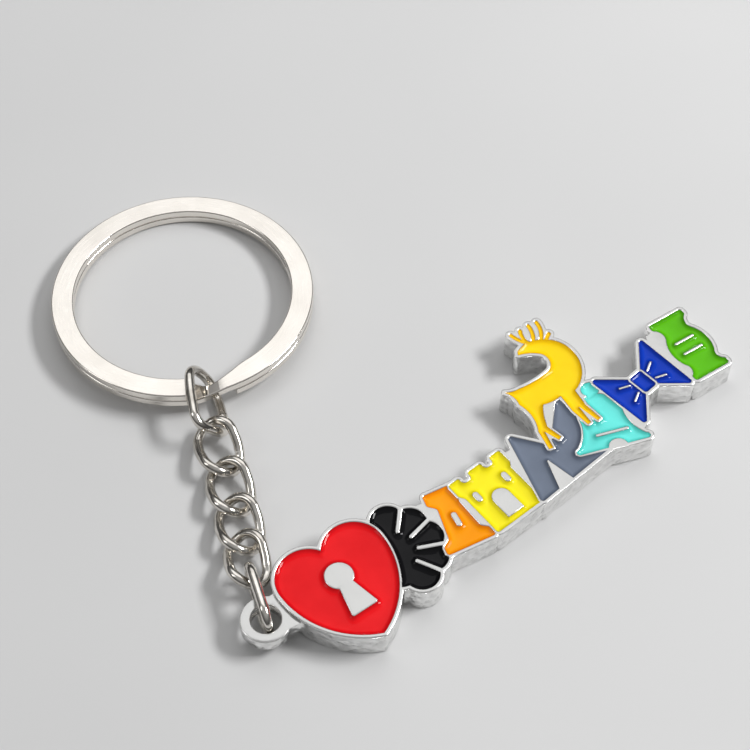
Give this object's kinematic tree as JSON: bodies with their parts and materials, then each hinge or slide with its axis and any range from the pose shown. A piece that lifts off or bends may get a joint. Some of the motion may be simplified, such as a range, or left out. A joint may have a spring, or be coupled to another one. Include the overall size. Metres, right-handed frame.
{
  "type": "keychain",
  "caption": "Souvenir keychain: a flat split ring, a short curb chain and a plated charm of raised outlines filled with coloured enamel.",
  "frame": {"origin": "on the charm's flat back face, under the middle of its heart", "axes": "+X along the charm's row of blocks, away from the lug; +Z out of the enamelled face; the chain and ring lie towards +Y"},
  "size_m": [0.0635, 0.0648, 0.0052],
  "materials": {
    "charm_nickel": "bright nickel plate",
    "chain_nickel": "bright nickel plate",
    "ring_nickel": "satin nickel faces, polished edges",
    "black_enamel": "glossy soft enamel",
    "orange_enamel": "glossy soft enamel",
    "yellow_enamel": "glossy soft enamel",
    "grey_enamel": "glossy soft enamel",
    "turquoise_enamel": "glossy soft enamel",
    "blue_enamel": "glossy soft enamel",
    "green_enamel": "glossy soft enamel",
    "red_enamel": "glossy soft enamel",
    "amber_enamel": "glossy soft enamel"
  },
  "bodies": {
    "charm": {"charm_body": "charm_nickel", "shell_enamel": "black_enamel", "tower_enamel": "orange_enamel", "castle_enamel": "yellow_enamel", "mountain_enamel": "grey_enamel", "bell_enamel": "turquoise_enamel", "bow_enamel": "blue_enamel", "vase_enamel": "green_enamel", "heart_enamel": "red_enamel", "deer_enamel": "amber_enamel", "antler_enamel": "amber_enamel"},
    "jump": {"jump_link": "chain_nickel"},
    "curb_1": {"curb_link_1": "chain_nickel"},
    "curb_2": {"curb_link_2": "chain_nickel"},
    "curb_3": {"curb_link_3": "chain_nickel"},
    "curb_4": {"curb_link_4": "chain_nickel"},
    "hook_up": {"ring_link": "chain_nickel"},
    "ring": {"split_ring": "ring_nickel"}
  },
  "joints": [
    {"name": "jump_swing", "type": "hinge", "parent": "charm", "child": "jump", "pos_m": [-0.0081, -0.0002, 0.00205], "axis": [0, 0, 1], "range_deg": [0, 120]},
    {"name": "curb_1_lift", "type": "hinge", "parent": "jump", "child": "curb_1", "pos_m": [-0.00732, 0.00435, 0.0021], "axis": [0.9511, -0.309, 0], "range_deg": [-18, 60]},
    {"name": "curb_2_turn", "type": "hinge", "parent": "curb_1", "child": "curb_2", "pos_m": [-0.00559, 0.00955, 0.00136], "axis": [0, 0, 1], "range_deg": [-20, 26]},
    {"name": "curb_3_lift", "type": "hinge", "parent": "curb_2", "child": "curb_3", "pos_m": [-0.00429, 0.01404, 0.00136], "axis": [0.9659, -0.2588, 0], "range_deg": [-34, 34]},
    {"name": "curb_4_turn", "type": "hinge", "parent": "curb_3", "child": "curb_4", "pos_m": [-0.00296, 0.0188, 0.00143], "axis": [0, 0, -1], "range_deg": [-10, 44]},
    {"name": "ring_link_lift", "type": "hinge", "parent": "curb_4", "child": "hook_up", "pos_m": [-0.00205, 0.02384, 0.00221], "axis": [0.9563, -0.2924, 0], "range_deg": [-24, 40]},
    {"name": "ring_spin", "type": "hinge", "parent": "hook_up", "child": "ring", "pos_m": [0.00336, 0.04156, 0.00175], "axis": [0.0158, 0.0517, 0.9985], "continuous": true}
  ]
}
